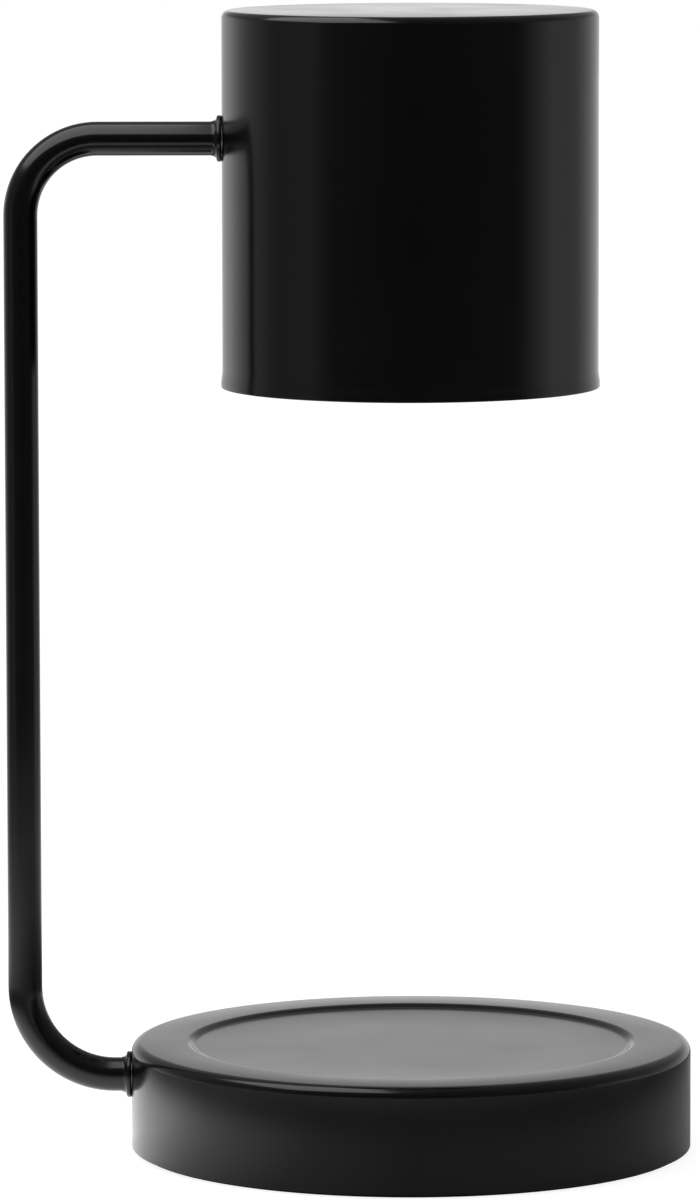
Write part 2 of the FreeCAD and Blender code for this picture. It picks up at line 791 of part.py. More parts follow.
def keyholes(z0, z1):
    """The two curved bayonet slots, each with a wide entry at its far end."""
    entry = pin_head_radius + pin_gap
    neck = pin_neck_radius + pin_gap
    cuts = []
    for start in pin_bearings:
        slot = sector_z(pin_circle - neck, pin_circle + neck, start - bulb_twist, start, z0, z1)
        round_end = rod_z(neck, z0, z1, pin_circle * math.cos(math.radians(start)),
                          pin_circle * math.sin(math.radians(start)))
        away = math.radians(start - bulb_twist)
        entry_hole = rod_z(entry, z0, z1, pin_circle * math.cos(away), pin_circle * math.sin(away))
        cuts.append(slot.fuse(round_end).fuse(entry_hole))
    return cuts


def holder_body():
    """Lower ceramic half of the lampholder, with keyholes below and pockets for the pin heads above."""
    body = spun([(0, holder_bottom, 0), (holder_radius, holder_bottom, ceramic_edge),
                 (holder_radius, cap_bottom, 0), (0, cap_bottom, 0)])
    floor = holder_bottom + holder_floor
    for cut in keyholes(holder_bottom, floor):
        body = body.cut(cut)
    sweep = math.degrees(math.asin((pin_head_radius + pin_gap) / pin_circle))
    outer = pin_circle + pin_head_radius + pin_gap
    inner = pin_circle - pin_head_radius - pin_gap
    for start in pin_bearings:
        body = body.cut(sector_z(inner, outer, start - bulb_twist - sweep, start + sweep, floor, cap_bottom))
    for side in (-1, 1):
        x = side * holder_screw_offset
        body = body.cut(rod_z(holder_screw_radius + screw_fit, holder_bottom, cap_bottom, x))
        pocket_flats = holder_nut_flats + 2 * nut_pocket_gap
        body = body.cut(hexagon_z(pocket_flats, holder_bottom, holder_bottom + holder_nut_height, x, 0))
    return body


def holder_cap():
    """Upper ceramic half, with a cavity for the contacts and two wire entries."""
    cap = spun([(0, cap_bottom, 0), (holder_radius, cap_bottom, 0),
                (holder_radius, bracket_under, ceramic_edge), (0, bracket_under, 0)])
    cavity_top = core_height + core_radius + cavity_headroom
    half = cavity_width / 2
    for side in (-1, 1):
        y0, y1 = sorted((side * cavity_rib, side * half))
        cap = cap.cut(block(-cavity_half, cavity_half, y0, y1, cap_bottom, cavity_top))
        cap = cap.cut(rod_x(core_radius + screw_fit, -holder_radius, 0, side * core_entry, core_height))
        screw_x = side * holder_screw_offset
        cap = cap.cut(rod_z(holder_screw_radius + screw_fit, cap_bottom, bracket_under, screw_x))
    return cap


def holder_contacts():
    """Two sprung strips that press on the locked pin heads and end at the cores."""
    contacts = []
    tongue_z = head_top + pin_gap
    rail_z = core_height - contact_thickness / 2
    for side in (-1, 1):
        tongue_y = sorted((side * (pin_circle - tongue_inside), side * (pin_circle + tongue_outside)))
        riser_y = sorted((side * (core_entry - riser_half), side * (core_entry + riser_half)))
        tongue = block(-tongue_half, tongue_half, *tongue_y, tongue_z, tongue_z + contact_thickness)
        riser = block(-riser_half, riser_half, *riser_y, tongue_z, core_height + core_radius)
        rail = block(core_tip + seat_gap, riser_half, *riser_y, rail_z, rail_z + contact_thickness)
        contacts.append(tongue.fuse(riser).fuse(rail))
    return Part.makeCompound(contacts)


def holder_screws():
    """Screws from the bracket down through both ceramic halves."""
    screws = []
    for side in (-1, 1):
        x = side * holder_screw_offset
        head = rod_z(holder_screw_head_radius, bracket_top, bracket_top + holder_screw_head_height, x)
        shank = rod_z(holder_screw_radius, holder_bottom + holder_screw_end_gap, bracket_top, x)
        recess = cross_recess(x, 0, bracket_top + holder_screw_head_height, holder_screw_recess, False)
        screws.append(head.fuse(shank).cut(recess))
    return Part.makeCompound(screws)


def holder_nuts():
    """Nuts sunk in the holder's lower face."""
    nuts = []
    nut_foot = holder_bottom + ceramic_gap
    nut_thickness = holder_nut_height - ceramic_gap - seat_gap
    for side in (-1, 1):
        x = side * holder_screw_offset
        nut = hexagon_z(holder_nut_flats, nut_foot, nut_foot + nut_thickness, x, 0)
        nuts.append(nut.cut(rod_z(holder_screw_radius + thread_gap, holder_bottom, cap_bottom, x)))
    return Part.makeCompound(nuts)


def reflector_side(shift):
    """Arc of the reflector's flared wall, from its neck to its rim."""
    neck = bulb_neck_radius - shift
    rim = bulb_radius - shift
    middle_r = (neck + rim) / 2 + (rim - neck) * flare_bulge
    middle_z = neck_foot - (neck_foot - reflector_rim) * flare_drop - shift * flare_shift
    return curved(neck, neck_foot, middle_r, middle_z, rim, reflector_rim)


def bulb_reflector():
    """Pressed glass reflector, open at the front and narrowing to a neck in the ceramic base."""
    neck_top = base_underside + bulb_neck_length
    inner_neck = bulb_neck_radius - glass_wall
    inner_rim = bulb_radius - glass_wall
    edges = [
        straight(inner_neck, neck_top, bulb_neck_radius, neck_top),
        straight(bulb_neck_radius, neck_top, bulb_neck_radius, neck_foot),
        reflector_side(0.0),
        straight(bulb_radius, reflector_rim, bulb_radius, bulb_face),
        straight(bulb_radius, bulb_face, inner_rim, bulb_face),
        straight(inner_rim, bulb_face, inner_rim, reflector_rim),
        reflector_side(glass_wall),
        straight(inner_neck, neck_foot, inner_neck, neck_top),
    ]
    return Part.Face(Part.Wire(Part.__sortEdges__(edges))).revolve(point(0, 0, 0), Z, 360)


def bulb_lens():
    """Flat front glass with softened edges, set in the reflector's rim."""
    radius = bulb_radius - glass_wall - seat_gap
    z0 = bulb_face + lens_recess
    z1 = z0 + lens_thickness
    return spun([(0, z0, 0), (radius, z0, lens_edge), (radius, z1, lens_edge), (0, z1, 0)])


def bulb_base():
    """Ceramic base around the reflector's neck, which carries the pins and holds the capsule's pinch."""
    socket_top = base_underside + bulb_neck_length + ceramic_gap
    bore = bulb_neck_radius + seat_gap
    body = spun([
        (0, socket_top, 0),
        (bore, socket_top, 0),
        (bore, base_underside, 0),
        (bulb_base_radius, base_underside, bulb_base_edge),
        (bulb_base_radius, bulb_top, ceramic_edge),
        (0, bulb_top, 0),
    ])
    half_x = pinch_width / 2 + ceramic_gap
    half_y = pinch_thickness / 2 + ceramic_gap
    pinch_top = neck_foot + pinch_length + ceramic_gap
    body = body.cut(block(-half_x, half_x, -half_y, half_y, base_underside, pinch_top))
    for side in (-1, 1):
        y = side * pin_circle
        body = body.cut(rod_z(pin_neck_radius + thread_gap, bulb_top - pin_root, bulb_top, 0, y))
    return body


def bulb_pins():
    """The two headed pins of the twist-lock base."""
    pins = []
    for side in (-1, 1):
        y = side * pin_circle
        neck = rod_z(pin_neck_radius, bulb_top - pin_root + ceramic_gap, head_bottom, 0, y)
        pins.append(neck.fuse(rod_z(pin_head_radius, head_bottom, head_top, 0, y)))
    return Part.makeCompound(pins)


def bulb_capsule():
    """Quartz capsule with a domed tip and a flat pinch that sits in the base."""
    tip = neck_foot - capsule_length
    floor = tip + capsule_wall
    roof = neck_foot - capsule_roof
    inner = capsule_radius - capsule_wall
    glass = spun([(0, tip, 0), (capsule_radius, tip, capsule_radius * capsule_tip_share),
                  (capsule_radius, neck_foot, capsule_shoulder), (0, neck_foot, 0)])
    hollow = spun([(0, floor, 0), (inner, floor, inner * capsule_hollow_share),
                   (inner, roof, capsule_shoulder - least_bend), (0, roof, 0)])
    pinch = block(-pinch_width / 2, pinch_width / 2, -pinch_thickness / 2, pinch_thickness / 2,
                  neck_foot - pinch_overlap, neck_foot + pinch_length)
    return glass.cut(hollow).fuse(pinch)


def bulb_filament():
    """Coil drawn as a bar between the two legs that hold it in the capsule."""
    roof = neck_foot - capsule_roof
    low = neck_foot - capsule_length * filament_drop_share
    half = (capsule_radius - capsule_wall) * filament_reach_share
    bar = rod_x(filament_radius, -half, half, 0, low)
    legs = [rod_z(filament_leg_radius, low, roof, side * half) for side in (-1, 1)]
    return bar.fuse(legs[0]).fuse(legs[1])


nodes = {
    "base_cover": base_cover(),
    "cover_posts": cover_posts(),
    "ballast_disc": ballast_disc(),
    "bottom_plate": bottom_plate(),
    "foam_pad": foam_pad(),
    "base_screws": base_screws(),
    "ballast_bolt": ballast_bolt(),
    "cord_grommet": cord_grommet(),
    "terminal_block": terminal_block(),
    "terminal_sleeves": terminal_sleeves(),
    "terminal_screws": terminal_screws(),
    "block_screw": block_screw(),
    "arm_tube": arm_tube(),
    "base_collar": collar(base_end, arm_low),
    "shade_collar": collar(shade_end, arm_high),
    "base_nipple": base_nipple(),
    "base_saddle_washer": base_saddle_washer(),
    "base_nut": thread_nut(base_nut_outer, arm_low),
    "shade_nipple": shade_nipple(),
    "stop_washer": stop_washer(),
    "bow_washer": bow_washer(),
    "shade_nut": thread_nut(shade_nut_outer, arm_high),
    "arm_lead": arm_lead(),
    "shade_shell": shade_shell(),
    "shade_bush": shade_bush(),
    "lamp_bracket": lamp_bracket(),
    "holder_body": holder_body(),
    "holder_cap": holder_cap(),
    "holder_contacts": holder_contacts(),
    "holder_screws": holder_screws(),
    "holder_nuts": holder_nuts(),
    "holder_lead": holder_lead(),
    "bulb_reflector": bulb_reflector(),
    "bulb_lens": bulb_lens(),
    "bulb_base": bulb_base(),
    "bulb_pins": bulb_pins(),
    "bulb_capsule": bulb_capsule(),
    "bulb_filament": bulb_filament(),
}

os.makedirs("parts", exist_ok=True)
for name, shape in nodes.items():
    shape.exportStep("parts/" + name + ".step")
    print(name, "solids", len(shape.Solids), "valid", shape.isValid(), "volume", round(shape.Volume, 1))
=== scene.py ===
# %% [markdown]
# A candle warmer lamp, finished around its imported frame. The frame holds every working piece at its real
# size, in metres, with +Z up and the origin on the table under the base. This script adds what a camera
# sees: smooth painted skins, glass, ceramic and metal finishes, a floor, soft light and the camera.

# %% Load the frame
import json
import math

import bpy
import numpy as np
from mathutils import Matrix, Vector


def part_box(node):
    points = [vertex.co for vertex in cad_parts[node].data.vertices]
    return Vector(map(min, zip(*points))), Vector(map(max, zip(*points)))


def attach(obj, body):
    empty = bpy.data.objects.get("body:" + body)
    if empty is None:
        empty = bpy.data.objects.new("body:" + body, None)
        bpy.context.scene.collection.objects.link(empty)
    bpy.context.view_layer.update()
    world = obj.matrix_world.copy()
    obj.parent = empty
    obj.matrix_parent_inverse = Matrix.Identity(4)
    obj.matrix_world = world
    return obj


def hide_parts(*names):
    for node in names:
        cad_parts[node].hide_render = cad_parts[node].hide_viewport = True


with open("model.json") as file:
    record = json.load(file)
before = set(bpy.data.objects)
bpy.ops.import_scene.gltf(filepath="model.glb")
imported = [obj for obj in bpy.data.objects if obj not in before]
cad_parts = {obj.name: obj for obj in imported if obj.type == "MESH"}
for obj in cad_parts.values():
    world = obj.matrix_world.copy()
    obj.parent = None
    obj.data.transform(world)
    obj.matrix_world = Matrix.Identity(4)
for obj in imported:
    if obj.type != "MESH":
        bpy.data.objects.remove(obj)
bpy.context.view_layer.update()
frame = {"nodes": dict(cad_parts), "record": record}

MM = 0.001
nodes = frame["nodes"]

# %% [markdown]
# Most pieces of a lamp are turned, spun or drawn, so they are surfaces of revolution. A smooth render needs
# finer rings than the frame's own triangles, so the painted pieces get new skins of the same size. Such a
# skin is an outline of radius and height, carried round the axis. Its corners are rounded with real arcs.


# %% Outline helper
def rounded_outline(corners, closed=True, steps=8):
    """Points of an outline given as corners (radius or x, height, rounding). At a rounded corner the arc
    starts and ends one tangent length from the corner, which is the rounding divided by the tangent of half
    the corner's angle. Its points are the centre plus vectors swept from one tangent point to the other."""
    pts = np.array([c[:2] for c in corners], float)
    out = []
    count = len(corners)
    for i, (x, z, rounding) in enumerate(corners):
        here = pts[i]
        if rounding <= 0 or (not closed and i in (0, count - 1)):
            out.append(here[None])
            continue
        back = pts[i - 1] - here
        ahead = pts[(i + 1) % count] - here
        back /= np.linalg.norm(back)
        ahead /= np.linalg.norm(ahead)
        half = math.acos(np.clip(back @ ahead, -1, 1)) / 2
        middle = (back + ahead) / np.linalg.norm(back + ahead)
        centre = here + middle * rounding / math.sin(half)
        start = here + back * rounding / math.tan(half) - centre
        end = here + ahead * rounding / math.tan(half) - centre
        turn = math.acos(np.clip(start @ end / rounding ** 2, -1, 1))
        t = np.linspace(0, 1, steps + 1)[:, None]
        out.append(centre + (np.sin((1 - t) * turn) * start + np.sin(t * turn) * end) / math.sin(turn))
    return np.concatenate(out)


# %% Mesh from points and faces
def make_piece(name, verts, faces, smooth_deg=35.0):
    """A mesh object at the origin from arrays of points and of faces with the same number of corners."""
    mesh = bpy.data.meshes.new(name)
    mesh.from_pydata(verts.tolist(), [], [f for group in faces for f in group.tolist()])
    mesh.validate()
    mesh.polygons.foreach_set("use_smooth", np.ones(len(mesh.polygons), bool))
    mesh.set_sharp_from_angle(angle=math.radians(smooth_deg))
    piece = bpy.data.objects.new(name, mesh)
    bpy.context.scene.collection.objects.link(piece)
    return piece


# %% Which way the faces point
def volume_of(verts, faces):
    """Signed volume: the sum over triangles of a dot (b cross c) / 6, positive where faces point outwards."""
    total = 0.0
    for group in faces:
        for k in range(1, group.shape[1] - 1):
            a, b, c = verts[group[:, 0]], verts[group[:, k]], verts[group[:, k + 1]]
            total += np.einsum("ij,ij->", a, np.cross(b, c)) / 6
    return total


# %% Surface of revolution
def lathe(name, outline, segments=192, axis="z", through=(0.0, 0.0), smooth_deg=35.0):
    """Surface of revolution. A point at angle a is (radius cos a, radius sin a, height) for the Z axis. An
    outline that starts and ends on the axis is closed with a point at each pole, and any other outline is a
    closed loop, which makes a ring. For the X or Y axis the height runs along that axis, and through gives
    the two other coordinates of the axis."""
    poles = abs(outline[0, 0]) < 1e-9 and abs(outline[-1, 0]) < 1e-9
    rows = outline[1:-1] if poles else outline
    angle = np.linspace(0, 2 * math.pi, segments, endpoint=False)
    radius = rows[:, 0][:, None]
    height = np.repeat(rows[:, 1][:, None], segments, axis=1)
    grid = np.stack([radius * np.cos(angle), radius * np.sin(angle), height], -1)
    verts = grid.reshape(-1, 3)
    index = np.arange(len(rows) * segments).reshape(len(rows), segments)
    upper = index if not poles else index[:-1]
    lower = np.roll(index, -1, axis=0) if not poles else index[1:]
    quads = np.stack([upper, lower, np.roll(lower, -1, 1), np.roll(upper, -1, 1)], -1).reshape(-1, 4)
    faces = [quads]
    if poles:
        first, last = len(verts), len(verts) + 1
        verts = np.vstack([verts, [[0, 0, outline[0, 1]], [0, 0, outline[-1, 1]]]])
        ring = index[0]
        faces.append(np.stack([np.full(segments, first), ring, np.roll(ring, -1)], -1))
        ring = index[-1]
        faces.append(np.stack([np.full(segments, last), np.roll(ring, -1), ring], -1))
    if axis == "x":
        verts = np.stack([verts[:, 2], verts[:, 0] + through[0], verts[:, 1] + through[1]], -1)
    elif axis == "y":
        verts = np.stack([verts[:, 1] + through[0], verts[:, 2], verts[:, 0] + through[1]], -1)
    else:
        verts = verts + np.array([through[0], through[1], 0.0])
    if volume_of(verts, faces) < 0:
        faces = [f[:, ::-1] for f in faces]
    return make_piece(name, verts, faces, smooth_deg)


# %% Holes
def drill(piece, centre, direction, radius, depth, segments=64):
    """Cuts a round hole through a piece with an exact boolean, whose result is kept as the piece's mesh."""
    outline = np.array([[0, -depth], [radius, -depth], [radius, depth], [0, depth]])
    axis = "xyz"[int(np.argmax(np.abs(direction)))]
    cutter = lathe("cutter", outline, segments, "z")
    turn = {"x": Matrix.Rotation(math.pi / 2, 4, "Y"), "y": Matrix.Rotation(math.pi / 2, 4, "X"),
            "z": Matrix.Identity(4)}[axis]
    cutter.data.transform(Matrix.Translation(centre) @ turn)
    cut = piece.modifiers.new("hole", "BOOLEAN")
    cut.operation = "DIFFERENCE"
    cut.solver = "EXACT"
    cut.object = cutter
    result = bpy.data.meshes.new_from_object(piece.evaluated_get(bpy.context.evaluated_depsgraph_get()))
    piece.modifiers.clear()
    old = piece.data
    piece.data = result
    result.name = piece.name
    bpy.data.meshes.remove(old)
    cutter_mesh = cutter.data
    bpy.data.objects.remove(cutter)
    bpy.data.meshes.remove(cutter_mesh)
    piece.data.polygons.foreach_set("use_smooth", np.ones(len(piece.data.polygons), bool))
    piece.data.set_sharp_from_angle(angle=math.radians(35))
    return piece


# %% Places read from the frame
base_wall = 1.2 * MM
shade_wall = 0.8 * MM
hem_proud = 0.35 * MM
arm_below_top = 34.0 * MM
shade_lo, shade_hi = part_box("shade_shell")
base_lo, base_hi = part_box("base_cover")
tube_lo, tube_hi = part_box("arm_tube")
pad_lo, pad_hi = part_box("foam_pad")
base_radius = base_hi.x
shade_radius = shade_hi.x - hem_proud
shade_top = shade_hi.z
shade_rim = shade_lo.z
tilt_height = shade_top - arm_below_top
tube_radius = tube_hi.y
print("base radius", round(base_radius, 4), "shade radius", round(shade_radius, 4))
print("tube radius", round(tube_radius, 5))

# %% [markdown]
# Every finish is worked out from noise in the object's own coordinates, so that it stays on the surface from
# any side. Real paint is never even: it has a slight orange peel and its gloss wanders a little. Metals
# have a fine grain, ceramics tiny specks. One builder makes the noise, and each finish sets its scales.


# %% Noise and ranges
def noise(tree, mapping, scale, detail):
    """A noise texture on mapped coordinates."""
    texture = tree.nodes.new("ShaderNodeTexNoise")
    texture.inputs["Scale"].default_value = scale
    texture.inputs["Detail"].default_value = detail
    tree.links.new(mapping.outputs["Vector"], texture.inputs["Vector"])
    return texture


def spread(tree, texture, low, high, socket):
    """Maps noise from its usual 0.3 to 0.7 onto a range."""
    ranged = tree.nodes.new("ShaderNodeMapRange")
    ranged.inputs["From Min"].default_value = 0.3
    ranged.inputs["From Max"].default_value = 0.7
    ranged.inputs["To Min"].default_value = max(low, 0.0)
    ranged.inputs["To Max"].default_value = min(high, 1.0)
    tree.links.new(texture.outputs["Fac"], ranged.inputs["Value"])
    tree.links.new(ranged.outputs["Result"], socket)


def tint(tree, texture, colour, amount, socket):
    """Varies a colour darker and lighter by an amount, along noise."""
    ramp = tree.nodes.new("ShaderNodeValToRGB")
    ramp.color_ramp.elements[0].position = 0.3
    ramp.color_ramp.elements[1].position = 0.7
    ramp.color_ramp.elements[0].color = [c * (1 - amount) for c in colour[:3]] + [1]
    ramp.color_ramp.elements[1].color = [min(c * (1 + amount), 1) for c in colour[:3]] + [1]
    tree.links.new(texture.outputs["Fac"], ramp.inputs["Fac"])
    tree.links.new(ramp.outputs["Color"], socket)


# %% Finish builder
def finish(name, colour, rough, metallic=0.0, rough_spread=0.04, tint_spread=0.05, grain_mm=1.0,
           bump_mm=0.004, detail=3.0, stretch=(1.0, 1.0, 1.0), ior=1.5, transmission=0.0):
    """A material whose colour, roughness and fine relief follow noise of a given grain size."""
    material = bpy.data.materials.new(name)
    material.use_nodes = True
    tree = material.node_tree
    shader = tree.nodes["Principled BSDF"]
    shader.inputs["Metallic"].default_value = metallic
    shader.inputs["IOR"].default_value = ior
    shader.inputs["Transmission Weight"].default_value = transmission
    place = tree.nodes.new("ShaderNodeTexCoord")
    mapping = tree.nodes.new("ShaderNodeMapping")
    mapping.inputs["Scale"].default_value = stretch
    tree.links.new(place.outputs["Object"], mapping.inputs["Vector"])
    fine = noise(tree, mapping, 1.0 / (grain_mm * MM), detail)
    broad = noise(tree, mapping, 1.0 / (30 * MM), 2.0)
    spread(tree, broad, rough - rough_spread, rough + rough_spread, shader.inputs["Roughness"])
    tint(tree, broad, colour, tint_spread, shader.inputs["Base Color"])
    bump = tree.nodes.new("ShaderNodeBump")
    bump.inputs["Strength"].default_value = 1.0
    bump.inputs["Distance"].default_value = bump_mm * MM
    tree.links.new(fine.outputs["Fac"], bump.inputs["Height"])
    tree.links.new(bump.outputs["Normal"], shader.inputs["Normal"])
    return material


# %% [markdown]
# The photo shows smooth black enamel: dark from the front, bright only where it grazes the white room. That
# is a dark base under a clear dielectric gloss, not a grey paint. Inside, the maker's plain stock shows:
# zinc plated steel, steatite, brass and nickel.

# %% Finishes
MATERIALS = {
    "black_paint": finish("black_enamel", (0.0022, 0.0022, 0.0024), 0.17, rough_spread=0.025, grain_mm=1.6,
                          bump_mm=0.0016, tint_spread=0.08),
    "cast_iron": finish("cast_iron", (0.075, 0.073, 0.07), 0.72, metallic=0.6, grain_mm=0.9, bump_mm=0.09,
                        tint_spread=0.25),
    "foam": finish("closed_cell_foam", (0.016, 0.016, 0.017), 0.92, grain_mm=0.35, bump_mm=0.06,
                   tint_spread=0.2),
    "black_rubber": finish("moulded_rubber", (0.014, 0.014, 0.014), 0.6, grain_mm=0.6, bump_mm=0.01),
    "block_nylon": finish("natural_nylon", (0.66, 0.64, 0.58), 0.42, grain_mm=1.5, bump_mm=0.006),
    "brass": finish("turned_brass", (0.71, 0.50, 0.22), 0.26, metallic=1.0, grain_mm=0.25, bump_mm=0.003,
                    stretch=(0.2, 1.0, 1.0)),
    "lead_jacket": finish("silicone_jacket", (0.02, 0.02, 0.02), 0.45, grain_mm=0.8, bump_mm=0.004),
    "core_insulation": finish("core_silicone", (0.62, 0.60, 0.55), 0.48, grain_mm=0.5, bump_mm=0.004),
    "holder_ceramic": finish("steatite", (0.74, 0.70, 0.62), 0.58, grain_mm=0.3, bump_mm=0.012, detail=6.0),
    "bulb_ceramic": finish("pressed_ceramic", (0.80, 0.78, 0.73), 0.5, grain_mm=0.25, bump_mm=0.008,
                           detail=6.0),
    "nickel": finish("nickel_plate", (0.66, 0.63, 0.58), 0.2, metallic=1.0, grain_mm=0.2, bump_mm=0.001),
    "reflector_glass": finish("aluminised_glass", (0.86, 0.87, 0.90), 0.07, metallic=1.0, rough_spread=0.02,
                              grain_mm=2.0, bump_mm=0.003, tint_spread=0.02),
    "lens_glass": finish("clear_lens", (0.97, 0.98, 0.98), 0.02, rough_spread=0.01, tint_spread=0.01,
                         grain_mm=4.0, bump_mm=0.002, transmission=1.0, ior=1.5),
    "quartz": finish("quartz", (0.98, 0.98, 0.99), 0.015, rough_spread=0.01, tint_spread=0.01, grain_mm=3.0,
                     bump_mm=0.002, transmission=1.0, ior=1.46),
    "filament": finish("tungsten", (0.30, 0.29, 0.28), 0.4, metallic=1.0, grain_mm=0.15, bump_mm=0.01),
    "zinc_steel": finish("zinc_plate", (0.60, 0.61, 0.62), 0.3, metallic=1.0, rough_spread=0.08, grain_mm=0.5,
                         bump_mm=0.003, tint_spread=0.08),
    "spring_steel": finish("spring_steel", (0.24, 0.24, 0.25), 0.33, metallic=1.0, grain_mm=0.3,
                           bump_mm=0.002),
}
slot_of = {row["node"]: row["material_slot"] for row in frame["record"]["subparts"]}
print("finishes", len(MATERIALS))

# %% [markdown]
# The working pieces keep the frame's own shapes. Their triangles are loose, so a Weld modifier joins them and
# an Edge Split keeps the real edges sharp while round faces shade smoothly. Neither moves a point.


# %% Finish the frame's own pieces
def dress_node(node):
    """Gives a frame node its slot's finish and smooth shading within each face."""
    obj = nodes[node]
    obj.data.materials.clear()
    obj.data.materials.append(MATERIALS[slot_of[node]])
    obj.data.polygons.foreach_set("material_index", np.zeros(len(obj.data.polygons), np.int32))
    obj.data.polygons.foreach_set("use_smooth", np.ones(len(obj.data.polygons), bool))
    weld = obj.modifiers.new("weld", "WELD")
    weld.merge_threshold = 0.002 * MM
    split = obj.modifiers.new("edges", "EDGE_SPLIT")
    split.split_angle = math.radians(32)


for name in nodes:
    dress_node(name)
print("dressed", len(nodes), "frame nodes")


# %% Put a new piece in place
def settle(piece, body, slot, *replaced):
    """A new piece rides on a body, has its slot's finish and stands for the nodes that it replaces."""
    piece.data.materials.append(MATERIALS[slot])
    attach(piece, body)
    if replaced:
        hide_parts(*replaced)
    print(piece.name, "faces", len(piece.data.polygons), "on", body)
    return piece


# %% [markdown]
# The shade is a can drawn from one steel sheet. Its closed top meets the wall in a small bend, and its open
# lower rim is turned over into a fine hem that stands a third of a millimetre proud. Two rows of points just
# above and below the arm's hole keep the boolean's new edges under the collar.

# %% Shade
hem_height = 1.5 * MM
hem_flare = 2.5 * MM
hole_rows = 9.0 * MM
shade_bend = 2.0 * MM
shade_inner_bend = 1.2 * MM
sheet_edge = 0.3 * MM
arm_hole = 5.3 * MM
drill_depth = 3 * MM


def shade_outline():
    """Half section of the can, from the middle of the top, down the outside, back up inside to the middle."""
    inner = shade_radius - shade_wall
    proud = shade_radius + hem_proud
    corners = [(0, shade_top, 0), (shade_radius, shade_top, shade_bend)]
    corners += [(shade_radius, tilt_height + hole_rows, 0), (shade_radius, tilt_height - hole_rows, 0)]
    corners += [(shade_radius, shade_rim + hem_height + hem_flare, 12 * MM),
                (proud, shade_rim + hem_height, 4 * MM), (proud, shade_rim, sheet_edge),
                (inner, shade_rim, sheet_edge)]
    corners += [(inner, tilt_height - hole_rows, 0), (inner, tilt_height + hole_rows, 0)]
    corners += [(inner, shade_top - shade_wall, shade_inner_bend), (0, shade_top - shade_wall, 0)]
    return rounded_outline(corners, closed=False, steps=10)


shade = lathe("shade_skin", shade_outline(), segments=256)
drill(shade, Vector((-shade_radius, 0, tilt_height)), (1, 0, 0), arm_hole, drill_depth)
settle(shade, "shade", "black_paint", "shade_shell")

# %% [markdown]
# The base cover is pressed from sheet too. Its top has a shallow round recess for the candle jar, with soft
# edges, and its outer edge is bent to a radius of nearly three millimetres, which catches a thin highlight.

# %% Base cover
rim_width = 16.9 * MM
recess_radius = base_radius - rim_width
recess_depth = 1.0 * MM
recess_slope = 1.6 * MM
recess_blend = 2.5 * MM
base_bend = 2.8 * MM
base_foot_edge = 0.25 * MM
base_inner_bend = base_bend - base_wall
nipple_hole = 4.05 * MM
bush_hole = 5.05 * MM
seat = base_hi.z - recess_depth
arm_low = tube_lo.z + tube_radius
grommet_lo, grommet_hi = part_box("cord_grommet")
cord_height = (grommet_lo.z + grommet_hi.z) / 2


def base_outline():
    """Half section of the cover, from the middle of the recess over the rim, down and back inside."""
    inner = base_radius - base_wall
    lean = math.atan2(recess_depth, recess_slope)
    shift = base_wall * math.tan(lean / 2)
    edge = recess_radius + recess_slope
    corners = [(0, seat, 0), (recess_radius * 0.5, seat, 0), (recess_radius, seat, recess_blend),
               (edge, base_hi.z, recess_blend), (base_radius, base_hi.z, base_bend),
               (base_radius, base_lo.z, base_foot_edge), (inner, base_lo.z, base_foot_edge),
               (inner, base_hi.z - base_wall, base_inner_bend),
               (edge + shift, base_hi.z - base_wall, recess_blend - base_wall),
               (recess_radius + shift, seat - base_wall, recess_blend + base_wall),
               (0, seat - base_wall, 0)]
    return rounded_outline(corners, closed=False, steps=10)


base = lathe("base_skin", base_outline(), segments=320)
drill(base, Vector((-base_radius, 0, arm_low)), (1, 0, 0), nipple_hole, drill_depth)
drill(base, Vector((0, base_radius, cord_height)), (0, 1, 0), bush_hole, drill_depth)
settle(base, "stand", "black_paint", "base_cover")

# %% [markdown]
# The arm is one tube bent twice. Its skin is a circle carried along the centre line: two straight runs and
# the upright, joined by quarter circles. The circle turns with the path, so the tube keeps its diameter.


# %% Tube along a path
def carried_tube(name, centres, tangents, radius, bore, segments=64):
    """Outer and inner circles carried along a path in the XZ plane and joined at both ends. A point is the
    centre plus radius times (cos a of the in-plane normal plus sin a of Y)."""
    angle = np.linspace(0, 2 * math.pi, segments, endpoint=False)
    normal = np.stack([-tangents[:, 2], np.zeros(len(tangents)), tangents[:, 0]], -1)
    side = np.array([0.0, 1.0, 0.0])
    ring = np.cos(angle)[None, :, None] * normal[:, None, :] + np.sin(angle)[None, :, None] * side
    outer = centres[:, None, :] + radius * ring
    inner = (centres[:, None, :] + bore * ring)[::-1]
    grid = np.concatenate([outer, inner])
    index = np.arange(grid.shape[0] * segments).reshape(grid.shape[0], segments)
    after = np.roll(index, -1, axis=0)
    quads = np.stack([index, after, np.roll(after, -1, 1), np.roll(index, -1, 1)], -1).reshape(-1, 4)
    verts = grid.reshape(-1, 3)
    faces = [quads if volume_of(verts, [quads]) > 0 else quads[:, ::-1]]
    return make_piece(name, verts, faces)


# %% Arm
lower_bend = 24.0 * MM
upper_bend = 20.5 * MM
arm_wall = 1.05 * MM
leg_x = tube_lo.x + tube_radius


